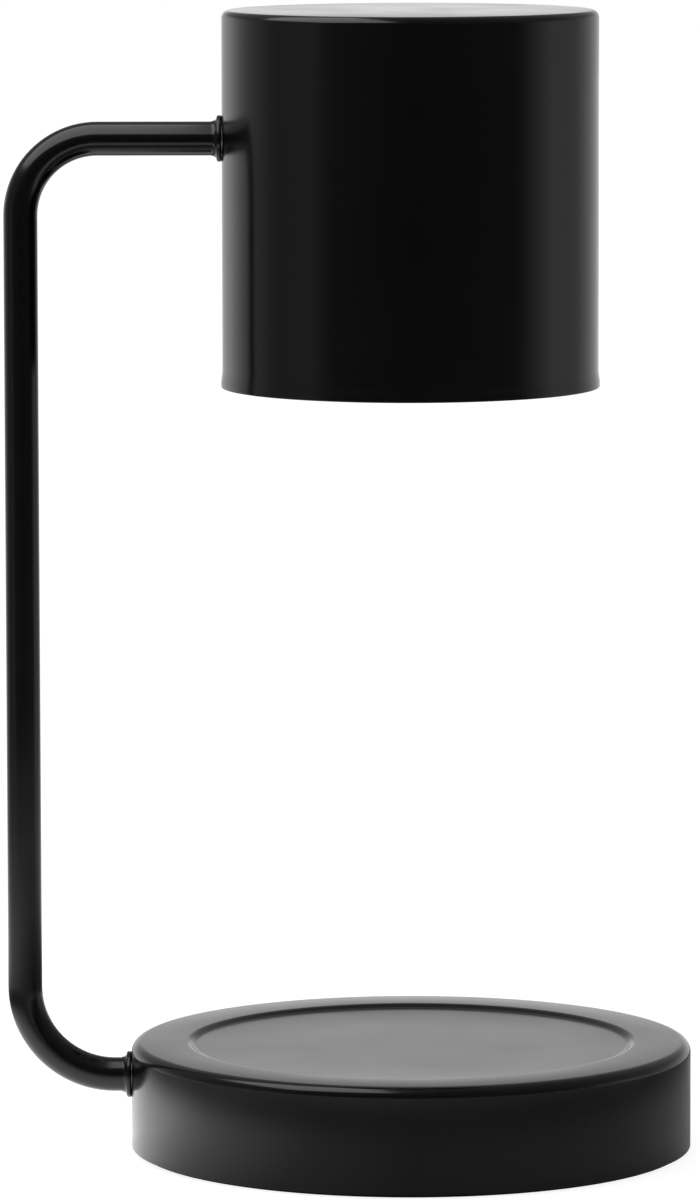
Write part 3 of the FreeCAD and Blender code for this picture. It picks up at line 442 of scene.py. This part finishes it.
def arm_path():
    """Centre line of the arm: points and unit tangents, with each quarter bend in two dozen steps."""
    bend = np.linspace(0, math.pi / 2, 25)
    low_centre = np.array([leg_x + lower_bend, 0, arm_low + lower_bend])
    high_centre = np.array([leg_x + upper_bend, 0, tilt_height - upper_bend])
    low = low_centre + lower_bend * np.stack([-np.sin(bend), 0 * bend, -np.cos(bend)], -1)
    high = high_centre + upper_bend * np.stack([-np.cos(bend), 0 * bend, np.sin(bend)], -1)
    low_run = np.stack([-np.cos(bend), 0 * bend, np.sin(bend)], -1)
    high_run = np.stack([np.sin(bend), 0 * bend, np.cos(bend)], -1)
    base_end = np.array([[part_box("base_collar")[1].x, 0, arm_low]])
    shade_end = np.array([[tube_hi.x, 0, tilt_height]])
    centres = np.concatenate([base_end, low, high, shade_end])
    tangents = np.concatenate([[[-1, 0, 0]], low_run, high_run, [[1, 0, 0]]])
    return centres, tangents


centres, tangents = arm_path()
arm = carried_tube("arm_skin", centres, tangents, tube_radius, tube_radius - arm_wall)
settle(arm, "stand", "black_paint", "arm_tube")


# %% [markdown]
# Where the arm meets a wall it passes through a flared collar: a thin disc on the wall with a hollow curve
# down to the tube. Both collars are the same turned piece.

# %% Collars
disc_thickness = 1.35 * MM
disc_lip = 0.6 * MM
wall_gap = 0.01 * MM


def collar(name, node, height, wall_radius):
    """A turned ring on the arm, whose disc all but touches the wall. Its hollow flank is a quarter of an
    ellipse from the tube to the disc's edge."""
    lo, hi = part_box(node)
    outer = (hi.z - lo.z) / 2
    edge = outer - disc_lip
    face = -wall_radius - wall_gap
    disc_back = face - disc_thickness
    lip = tube_radius + 0.15 * MM
    bore = tube_radius + 0.03 * MM
    t = np.linspace(0, math.pi / 2, 14)
    cove = np.stack([lip + (edge - lip) * (1 - np.cos(t)), lo.x + (disc_back - lo.x) * np.sin(t)], -1)
    rim = rounded_outline([(edge, disc_back, 0), (outer, disc_back, 0.55 * MM), (outer, face, 0.45 * MM),
                           (bore, face, 0), (bore, lo.x, 0)], closed=False, steps=6)
    outline = np.concatenate([cove, rim[1:]])
    return lathe(name, outline, segments=96, axis="x", through=(0.0, height))


collar_places = (("base_collar", arm_low, base_radius), ("shade_collar", tilt_height, shade_radius))
for node, height, wall_radius in collar_places:
    settle(collar(node + "_skin", node, height, wall_radius), "stand", "black_paint", node)

# %% [markdown]
# The lamp stands on a thick disc of closed-cell foam with a hole over each bottom screw. Foam is cut with a
# punch, so its edge is nearly square and only a little rounded by the pressure.

# %% Foam pad
screw_head = 4.2 * MM
screw_hole = screw_head + 0.6 * MM
screw_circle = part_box("base_screws")[1].x - screw_head
pad_radius = pad_hi.x


def pad_outline():
    """Half section of the pad, from the middle of its top, over both edges and back to the middle below."""
    corners = [(0, pad_hi.z, 0), (screw_circle * 0.8, pad_hi.z, 0), (pad_radius, pad_hi.z, 0.25 * MM),
               (pad_radius, pad_lo.z, 0.5 * MM), (screw_circle * 0.8, pad_lo.z, 0), (0, pad_lo.z, 0)]
    return rounded_outline(corners, closed=False, steps=6)


pad = lathe("foam_skin", pad_outline(), segments=256)
for turn in np.arange(3) * 2 * math.pi / 3:
    spot = Vector((screw_circle * math.cos(turn), screw_circle * math.sin(turn), (pad_lo.z + pad_hi.z) / 2))
    drill(pad, spot, (0, 0, 1), screw_hole, drill_depth)
# The flat faces are shaded flat, so that the rounded edge's normals don't reach across them.
facing = np.empty(3 * len(pad.data.polygons))
pad.data.polygons.foreach_get("normal", facing)
pad.data.polygons.foreach_set("use_smooth", np.abs(facing[2::3]) < 0.999)
settle(pad, "stand", "foam", "foam_pad")

# %% [markdown]
# At the back a rubber bush lines the cord's hole. It is a moulded ring with two lips and a groove that grips
# the sheet between them.

# %% Rubber bush
bush_bore = 3.2 * MM
bush_neck = 5.0 * MM
lip_thickness = 1.6 * MM


def bush_outline():
    """Closed section of the bush as radius and place along Y, with round lips outside and in."""
    lip = (grommet_hi.x - grommet_lo.x) / 2
    front, back = grommet_hi.y, grommet_lo.y
    corners = [(bush_bore, front, 0.6 * MM), (lip, front, 0.9 * MM), (lip, front - lip_thickness, 0.1 * MM),
               (bush_neck, front - lip_thickness, 0), (bush_neck, back + lip_thickness, 0),
               (lip, back + lip_thickness, 0.1 * MM), (lip, back, 0.5 * MM), (bush_bore, back, 0.4 * MM)]
    return rounded_outline(corners, steps=6)


bush = lathe("cord_bush_skin", bush_outline(), 96, "y", (0.0, cord_height))
settle(bush, "stand", "black_rubber", "cord_grommet")

# %% [markdown]
# The bulb's reflector is pressed glass, smooth outside and pressed into flat facets inside, which even out
# the light. The mirror is a thin faceted shell of its own, because its edges must stay crisp while the
# outside stays round.


# %% Arc through three points
def arc_through(first, middle, last, steps=24):
    """Points on the circle through three points. Its centre solves two equations: it lies at the same
    distance from the first point as from the middle and from the last."""
    a, b, c = (np.array(p, float) for p in (first, middle, last))
    centre = np.linalg.solve(2 * np.array([b - a, c - a]), [b @ b - a @ a, c @ c - a @ a])
    start, end = (math.atan2(*(p - centre)[::-1]) for p in (a, c))
    end = start + (end - start + math.pi) % (2 * math.pi) - math.pi
    angle = np.linspace(start, end, steps)
    return centre + np.linalg.norm(a - centre) * np.stack([np.cos(angle), np.sin(angle)], -1)


# %% Reflector
glass_lo, glass_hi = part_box("bulb_reflector")
glass_wall = 1.5 * MM
rim_radius = glass_hi.x
neck_radius = 8.5 * MM
neck_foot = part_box("bulb_base")[0].z - 1.0 * MM
rim_height = glass_lo.z + 4.5 * MM


def flare(shift, steps):
    """The wall's curve from the neck to the rim, moved inwards by a shift."""
    neck, rim = neck_radius - shift, rim_radius - shift
    middle = ((neck + rim) / 2 + (rim - neck) * 0.07,
              neck_foot - (neck_foot - rim_height) * 0.42 - shift * 0.4)
    return arc_through((neck, neck_foot), middle, (rim, rim_height), steps)


def glass_outline():
    """Closed section: down the outside, round the rim's soft edge and back up inside to the neck's top."""
    outside, inside = flare(0, 30), flare(glass_wall, 30)[::-1]
    inner = rim_radius - glass_wall
    rim = rounded_outline([(rim_radius, rim_height, 0), (rim_radius, glass_lo.z, 0.6 * MM),
                           (inner, glass_lo.z, 0.4 * MM), (inner, rim_height, 0)], closed=False)
    neck = np.array([[neck_radius - glass_wall, glass_hi.z], [neck_radius, glass_hi.z]])
    return np.concatenate([neck, outside, rim[1:-1], inside])


settle(lathe("reflector_skin", glass_outline(), 160), "bulb", "reflector_glass", "bulb_reflector")


# %% Faceted mirror
def mirror_outline(rows=9, thickness=0.08):
    """Closed section of a thin shell just inside the glass, with straight runs between its rows."""
    near = flare(glass_wall + 0.05 * MM, rows)
    return np.concatenate([near, flare(glass_wall + (0.05 + thickness) * MM, rows)[::-1]])


settle(lathe("reflector_facets", mirror_outline(), 28, smooth_deg=2), "bulb", "reflector_glass")

# %% [markdown]
# The front glass is flat with softened edges. Behind it stands the quartz capsule, a closed tube with a domed
# tip, and in it hangs the filament: a fine coil between two legs.

# %% Front glass
lens_lo, lens_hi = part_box("bulb_lens")
lens_edge = 0.4 * MM
front_glass = rounded_outline([(0, lens_lo.z, 0), (lens_hi.x, lens_lo.z, lens_edge),
                               (lens_hi.x, lens_hi.z, lens_edge), (0, lens_hi.z, 0)], closed=False)
settle(lathe("front_glass_skin", front_glass, 160), "bulb", "lens_glass", "bulb_lens")


# %% Tube along any path
def tube(name, centres, tangents, across, radius, segments=20):
    """Round bar along points. Its ring is the centre plus radius times (cos a of the across direction plus
    sin a of the tangent crossed with it). The ends are closed with a point."""
    across = across - np.sum(across * tangents, 1, keepdims=True) * tangents
    across /= np.linalg.norm(across, axis=1, keepdims=True)
    second = np.cross(tangents, across)
    angle = np.linspace(0, 2 * math.pi, segments, endpoint=False)[None, :, None]
    grid = centres[:, None] + radius * (np.cos(angle) * across[:, None] + np.sin(angle) * second[:, None])
    verts = np.vstack([grid.reshape(-1, 3), centres[:1], centres[-1:]])
    index = np.arange(len(centres) * segments).reshape(len(centres), segments)
    quads = np.stack([index[:-1], index[1:], np.roll(index[1:], -1, 1), np.roll(index[:-1], -1, 1)], -1)
    first, last = len(verts) - 2, len(verts) - 1
    start = np.stack([np.full(segments, first), index[0], np.roll(index[0], -1)], -1)
    end = np.stack([np.full(segments, last), np.roll(index[-1], -1), index[-1]], -1)
    faces = [quads.reshape(-1, 4), start, end]
    if volume_of(verts, faces) < 0:
        faces = [f[:, ::-1] for f in faces]
    return make_piece(name, verts, faces)


# %% Filament coil
coil_lo, coil_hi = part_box("bulb_filament")
coil_radius = 0.45 * MM
wire_radius = 0.1 * MM
wire_height = coil_lo.z + coil_radius + 0.15 * MM


def coil(turns=16, steps=16):
    """A helix along X: the angle grows evenly with x, and the tangent is its derivative, made one long."""
    angle = np.linspace(0, 2 * math.pi * turns, turns * steps + 1)
    span = coil_hi.x - coil_lo.x - 2 * MM
    x = np.linspace(-span / 2, span / 2, len(angle))
    centres = np.stack([x, coil_radius * np.cos(angle), wire_height + coil_radius * np.sin(angle)], -1)
    slope = np.full(len(angle), span / (2 * math.pi * turns))
    tangents = np.stack([slope, -coil_radius * np.sin(angle), coil_radius * np.cos(angle)], -1)
    tangents /= np.linalg.norm(tangents, axis=1, keepdims=True)
    across = np.stack([np.zeros(len(angle)), np.cos(angle), np.sin(angle)], -1)
    return tube("filament_coil", centres, tangents, across, wire_radius, 8)


settle(coil(), "bulb", "filament", "bulb_filament")


# %% Filament legs
def leg(side):
    """A wire from the coil's end up into the pinch: out along X, up along Z, with a quarter circle between."""
    reach = (coil_hi.x - coil_lo.x) / 2 - 0.7 * MM
    bend = 0.6 * MM
    turn = np.linspace(0, math.pi / 2, 9)
    arc = np.stack([reach - bend + bend * np.sin(turn), 0 * turn,
                    wire_height + bend - bend * np.cos(turn)], -1)
    along = np.stack([np.cos(turn), 0 * turn, np.sin(turn)], -1)
    centres = np.concatenate([[[reach - 2 * bend, 0, wire_height]], arc, [[reach, 0, coil_hi.z]]])
    tangents = np.concatenate([[[1, 0, 0]], along, [[0, 0, 1]]])
    flip = np.array([side, 1, 1])
    across = np.tile([0.0, 1.0, 0.0], (len(centres), 1))
    return tube("filament_leg_" + ("right" if side > 0 else "left"), centres * flip, tangents * flip, across,
                0.2 * MM, 12)


settle(leg(1), "bulb", "filament")
settle(leg(-1), "bulb", "filament")

# %% [markdown]
# Two insulated cores leave the arm inside the shade and rise to the holder. Each is a soft S on its own side,
# so it is a bar along a smooth curve that starts and ends level.

# %% Cores to the holder
lead_lo, lead_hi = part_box("holder_lead")
core_radius = 0.85 * MM
core_spread = 0.95 * MM


def core(side):
    """A core whose sideways and upward shares follow the same smooth step: 3 s squared minus 2 s cubed."""
    t = np.linspace(0, 1, 60)
    s = np.clip((t - 0.12) / 0.42, 0, 1)
    step = s * s * (3 - 2 * s)
    x = lead_lo.x + (lead_hi.x - lead_lo.x) * t
    y = side * (core_spread + (lead_hi.y - core_radius - core_spread) * step)
    z = lead_lo.z + core_radius + (lead_hi.z - lead_lo.z - 2 * core_radius) * step
    centres = np.stack([x, y, z], -1)
    tangents = np.gradient(centres, axis=0)
    tangents[[0, -1]] = [1, 0, 0]
    tangents /= np.linalg.norm(tangents, axis=1, keepdims=True)
    across = np.tile([0.0, 1.0, 0.0], (len(t), 1))
    return tube("holder_core_" + ("back" if side > 0 else "front"), centres, tangents, across, core_radius)


settle(core(1), "shade", "core_insulation", "holder_lead")
settle(core(-1), "shade", "core_insulation", "holder_lead")

# %% [markdown]
# Glossy black shows little of its own colour and mostly what stands around it. The photo's enamel tells of a
# white wall behind, boards at both sides, a dark room in front, and a dim ceiling that is palest at the back.
# The world gives that by direction, while camera rays see plain white.

# %% Node helpers
def math_node(tree, operation, first=None, second=None):
    """A math node with its values set where they aren't linked."""
    node = tree.nodes.new("ShaderNodeMath")
    node.operation = operation
    for socket, value in zip(node.inputs, (first, second)):
        if value is not None:
            socket.default_value = value
    return node


def smooth_step(tree, socket, low, high):
    """A share that grows smoothly from 0 to 1 between two values."""
    step = tree.nodes.new("ShaderNodeMapRange")
    step.interpolation_type = "SMOOTHSTEP"
    step.inputs["From Min"].default_value = low
    step.inputs["From Max"].default_value = high
    tree.links.new(socket, step.inputs["Value"])
    return step.outputs["Result"]


def blend_colours(tree, share, first, second):
    """First colour where the share is 0, second where it is 1. A colour is a socket or a grey value."""
    mix = tree.nodes.new("ShaderNodeMix")
    mix.data_type = "RGBA"
    tree.links.new(share, mix.inputs["Factor"])
    for socket, colour in ((mix.inputs[6], first), (mix.inputs[7], second)):
        if isinstance(colour, float):
            socket.default_value = (colour, colour, colour, 1)
        else:
            tree.links.new(colour, socket)
    return mix.outputs[2]


# %% Room brightness
WALLS = [(-180, 1.2), (-170, 0.9), (-160, 0.7), (-140, 0.85), (-118, 0.42), (-90, 0.17), (-62, 0.25),
         (-50, 0.08), (0, 0.05), (70, 0.08), (95, 0.55), (120, 0.35), (155, 0.7), (170, 0.9), (180, 1.2)]
CEILING = [(0, 0.07), (0.5, 0.2), (1, 0.3)]


def ramp_of(tree, socket, stops):
    """Grey colours along a value from 0 to 1."""
    ramp = tree.nodes.new("ShaderNodeValToRGB")
    elements = ramp.color_ramp.elements
    while len(elements) < len(stops):
        elements.new(0.5)
    for element, (place, value) in zip(elements, stops):
        element.position = place
        element.color = (value, value, value, 1)
    tree.links.new(socket, ramp.inputs["Fac"])
    return ramp.outputs["Color"]


def round_the_room(tree, vector, stops):
    """Brightness by compass direction in degrees: 0 towards the camera, growing to the right, 180 behind. The
    angle is the arctangent of x over minus y."""
    split = tree.nodes.new("ShaderNodeSeparateXYZ")
    facing = math_node(tree, "MULTIPLY", None, -1.0)
    angle = math_node(tree, "ARCTAN2")
    share = tree.nodes.new("ShaderNodeMapRange")
    share.inputs["From Min"].default_value = -math.pi
    share.inputs["From Max"].default_value = math.pi
    tree.links.new(vector, split.inputs[0])
    tree.links.new(split.outputs["Y"], facing.inputs[0])
    tree.links.new(split.outputs["X"], angle.inputs[0])
    tree.links.new(facing.outputs[0], angle.inputs[1])
    tree.links.new(angle.outputs[0], share.inputs["Value"])
    return ramp_of(tree, share.outputs["Result"], [(place / 360 + 0.5, value) for place, value in stops])


# %% World
def make_world():
    """White to the camera and through glass, walls that pass into a ceiling to everything else."""
    world = bpy.data.worlds.new("room")
    world.use_nodes = True
    bpy.context.scene.world = world
    tree = world.node_tree
    tree.nodes.clear()
    out = tree.nodes.new("ShaderNodeOutputWorld")
    place = tree.nodes.new("ShaderNodeTexCoord")
    room = tree.nodes.new("ShaderNodeBackground")
    white = tree.nodes.new("ShaderNodeBackground")
    white.inputs["Color"].default_value = (1, 1, 1, 1)
    path = tree.nodes.new("ShaderNodeLightPath")
    seen = math_node(tree, "MAXIMUM")
    mix = tree.nodes.new("ShaderNodeMixShader")
    split = tree.nodes.new("ShaderNodeSeparateXYZ")
    tree.links.new(place.outputs["Generated"], split.inputs[0])
    walls = round_the_room(tree, place.outputs["Generated"], WALLS)
    backwards = tree.nodes.new("ShaderNodeMapRange")
    backwards.inputs["From Min"].default_value = -1
    tree.links.new(split.outputs["Y"], backwards.inputs["Value"])
    ceiling = ramp_of(tree, backwards.outputs["Result"], CEILING)
    rise = smooth_step(tree, split.outputs["Z"], 0.04, 0.3)
    tree.links.new(blend_colours(tree, rise, walls, ceiling), room.inputs["Color"])
    tree.links.new(path.outputs["Is Camera Ray"], seen.inputs[0])
    tree.links.new(path.outputs["Is Transmission Ray"], seen.inputs[1])
    tree.links.new(seen.outputs[0], mix.inputs["Fac"])
    tree.links.new(room.outputs[0], mix.inputs[1])
    tree.links.new(white.outputs[0], mix.inputs[2])
    tree.links.new(mix.outputs[0], out.inputs["Surface"])


make_world()

# %% [markdown]
# The floor is one wide round face. It looks white to the camera and keeps only a soft shadow. In the enamel
# it shows as a table with painted light on it: a painted pool of light close to the base, a painted shade
# ring round it, pale painted light further out, and at last a glow in the room's own tones. Seen from below
# it is clear, so that the lamp's underside can be looked at.

# %% Floor
# Painted light on the table by compass direction: bright at the left, painted shade in front and right.
PAINTED_TABLE_LIGHT = [(-180, 0.6), (-130, 0.8), (-90, 1.1), (-60, 0.6), (-30, 0.26), (0, 0.16), (90, 0.25), (130, 0.2),
         (180, 0.6)]


def light_path(tree, kind, first, second):
    """Second shader for rays of one kind, first for all others."""
    path = tree.nodes.new("ShaderNodeLightPath")
    mix = tree.nodes.new("ShaderNodeMixShader")
    tree.links.new(path.outputs[kind], mix.inputs["Fac"])
    tree.links.new(first, mix.inputs[1])
    tree.links.new(second, mix.inputs[2])
    return mix.outputs[0]


def plain(tree, kind, colour, strength=None):
    """A one-socket shader of a grey value or a linked colour."""
    node = tree.nodes.new(kind)
    if isinstance(colour, float):
        node.inputs["Color"].default_value = (colour, colour, colour, 1)
    else:
        tree.links.new(colour, node.inputs["Color"])
    if strength is not None:
        node.inputs["Strength"].default_value = strength
    return node.outputs[0]


def added(tree, first, second):
    """The sum of two shaders."""
    node = tree.nodes.new("ShaderNodeAddShader")
    tree.links.new(first, node.inputs[0])
    tree.links.new(second, node.inputs[1])
    return node.outputs[0]


def make_floor(radius=6.0):
    """One round face: one look for the camera, one for gloss with painted light and shade, one for soft light.
    """
    angle = np.linspace(0, 2 * math.pi, 96, endpoint=False)
    rim = np.stack([radius * np.cos(angle), radius * np.sin(angle), np.full(len(angle), -0.2 * MM)], -1)
    floor = make_piece("floor", rim, [np.arange(len(angle))[None]])
    material = bpy.data.materials.new("pale_floor_with_painted_light")
    material.use_nodes = True
    tree = material.node_tree
    tree.nodes.clear()
    place = tree.nodes.new("ShaderNodeTexCoord").outputs["Object"]
    length = tree.nodes.new("ShaderNodeVectorMath")
    length.operation = "LENGTH"
    tree.links.new(place, length.inputs[0])
    away = length.outputs["Value"]
    # Painted table light: the compass ramp close to the base, a painted shade ring from 0.14 m, pale from 0.3
    # m.
    near = blend_colours(tree, smooth_step(tree, away, 0.14, 0.24), round_the_room(tree, place, PAINTED_TABLE_LIGHT), 0.08)
    painted_table_tone = blend_colours(tree, smooth_step(tree, away, 0.3, 0.42), near, 0.9)
    # A diffuse lit by the lamps plus an emission that paints the same light and shade as a glow.
    table_lit_and_painted = added(tree, plain(tree, "ShaderNodeBsdfDiffuse", painted_table_tone),
                  plain(tree, "ShaderNodeEmission", painted_table_tone, 0.6))
    far = plain(tree, "ShaderNodeEmission", round_the_room(tree, place, WALLS), 1.0)
    outwards = tree.nodes.new("ShaderNodeMixShader")
    tree.links.new(smooth_step(tree, away, 0.3, 0.75), outwards.inputs["Fac"])
    tree.links.new(table_lit_and_painted, outwards.inputs[1])
    tree.links.new(far, outwards.inputs[2])
    paper = blend_colours(tree, smooth_step(tree, away, 0.3, 1.5), 0.9, 1.0)
    shown = added(tree, plain(tree, "ShaderNodeEmission", paper, 1.0),
                  plain(tree, "ShaderNodeBsdfDiffuse", 0.25))
    soft = plain(tree, "ShaderNodeBsdfDiffuse", 0.6)
    look = light_path(tree, "Is Glossy Ray", soft, outwards.outputs[0])
    look = light_path(tree, "Is Transmission Ray", look, shown)
    look = light_path(tree, "Is Camera Ray", look, shown)
    side = tree.nodes.new("ShaderNodeMixShader")
    below = tree.nodes.new("ShaderNodeNewGeometry").outputs["Backfacing"]
    tree.links.new(below, side.inputs["Fac"])
    tree.links.new(look, side.inputs[1])
    tree.links.new(tree.nodes.new("ShaderNodeBsdfTransparent").outputs[0], side.inputs[2])
    out = tree.nodes.new("ShaderNodeOutputMaterial")
    tree.links.new(side.outputs[0], out.inputs["Surface"])
    floor.data.materials.append(material)
    return floor


make_floor()

# %% [markdown]
# Two square soft boxes face down. The large one lights the table and the paler pieces at about the level of
# white paper, and the enamel doesn't mirror it. The small one hangs close over the arm and gives the pale
# band along its upper run.


# %% Soft boxes
def soft_box(name, place, size, brightness, mirrored):
    """A square area light that faces down. Its power is brightness times pi times its area."""
    data = bpy.data.lights.new(name, "AREA")
    data.shape = "SQUARE"
    data.size = size
    data.energy = brightness * math.pi * size ** 2
    lamp = bpy.data.objects.new(name, data)
    bpy.context.scene.collection.objects.link(lamp)
    lamp.location = place
    lamp.visible_camera = False
    lamp.visible_glossy = mirrored
    print(name, "power", round(data.energy, 2))


soft_box("ceiling_box", (-0.2, 0.1, 0.95), 0.9, 2.2, False)
soft_box("arm_box", (-0.34, -0.16, 0.56), 0.55, 2.1, True)

# %% [markdown]
# The camera's place, direction and lens come from a least squares fit of the lamp's outlines to the photo.

# %% Camera
CAMERA_DISTANCE = 2.1
CAMERA_HEIGHT = 0.38767
CAMERA_YAW = -0.0079
CAMERA_PITCH = 0.1137
CAMERA_ROLL = -0.0018
FOCAL_PIXELS = 7923.1
PHOTO_HEIGHT = 1200
SENSOR = 36.0


def make_camera():
    """A camera whose axes are built from its forward direction, then turned by the small roll."""
    forward = Vector((math.sin(CAMERA_YAW) * math.cos(CAMERA_PITCH),
                      math.cos(CAMERA_YAW) * math.cos(CAMERA_PITCH), -math.sin(CAMERA_PITCH)))
    right = Vector((math.cos(CAMERA_YAW), -math.sin(CAMERA_YAW), 0))
    up = right.cross(forward)
    across = right * math.cos(CAMERA_ROLL) + up * math.sin(CAMERA_ROLL)
    above = up * math.cos(CAMERA_ROLL) - right * math.sin(CAMERA_ROLL)
    data = bpy.data.cameras.new("camera")
    data.sensor_width = SENSOR
    data.lens = FOCAL_PIXELS / PHOTO_HEIGHT * SENSOR
    camera = bpy.data.objects.new("camera", data)
    bpy.context.scene.collection.objects.link(camera)
    axes = Matrix((across, above, -forward)).transposed().to_4x4()
    camera.matrix_world = Matrix.Translation((0, -CAMERA_DISTANCE, CAMERA_HEIGHT)) @ axes
    bpy.context.scene.camera = camera
    print("lens", round(data.lens, 2))


make_camera()

# %% Colour
bpy.context.scene.view_settings.view_transform = "Standard"
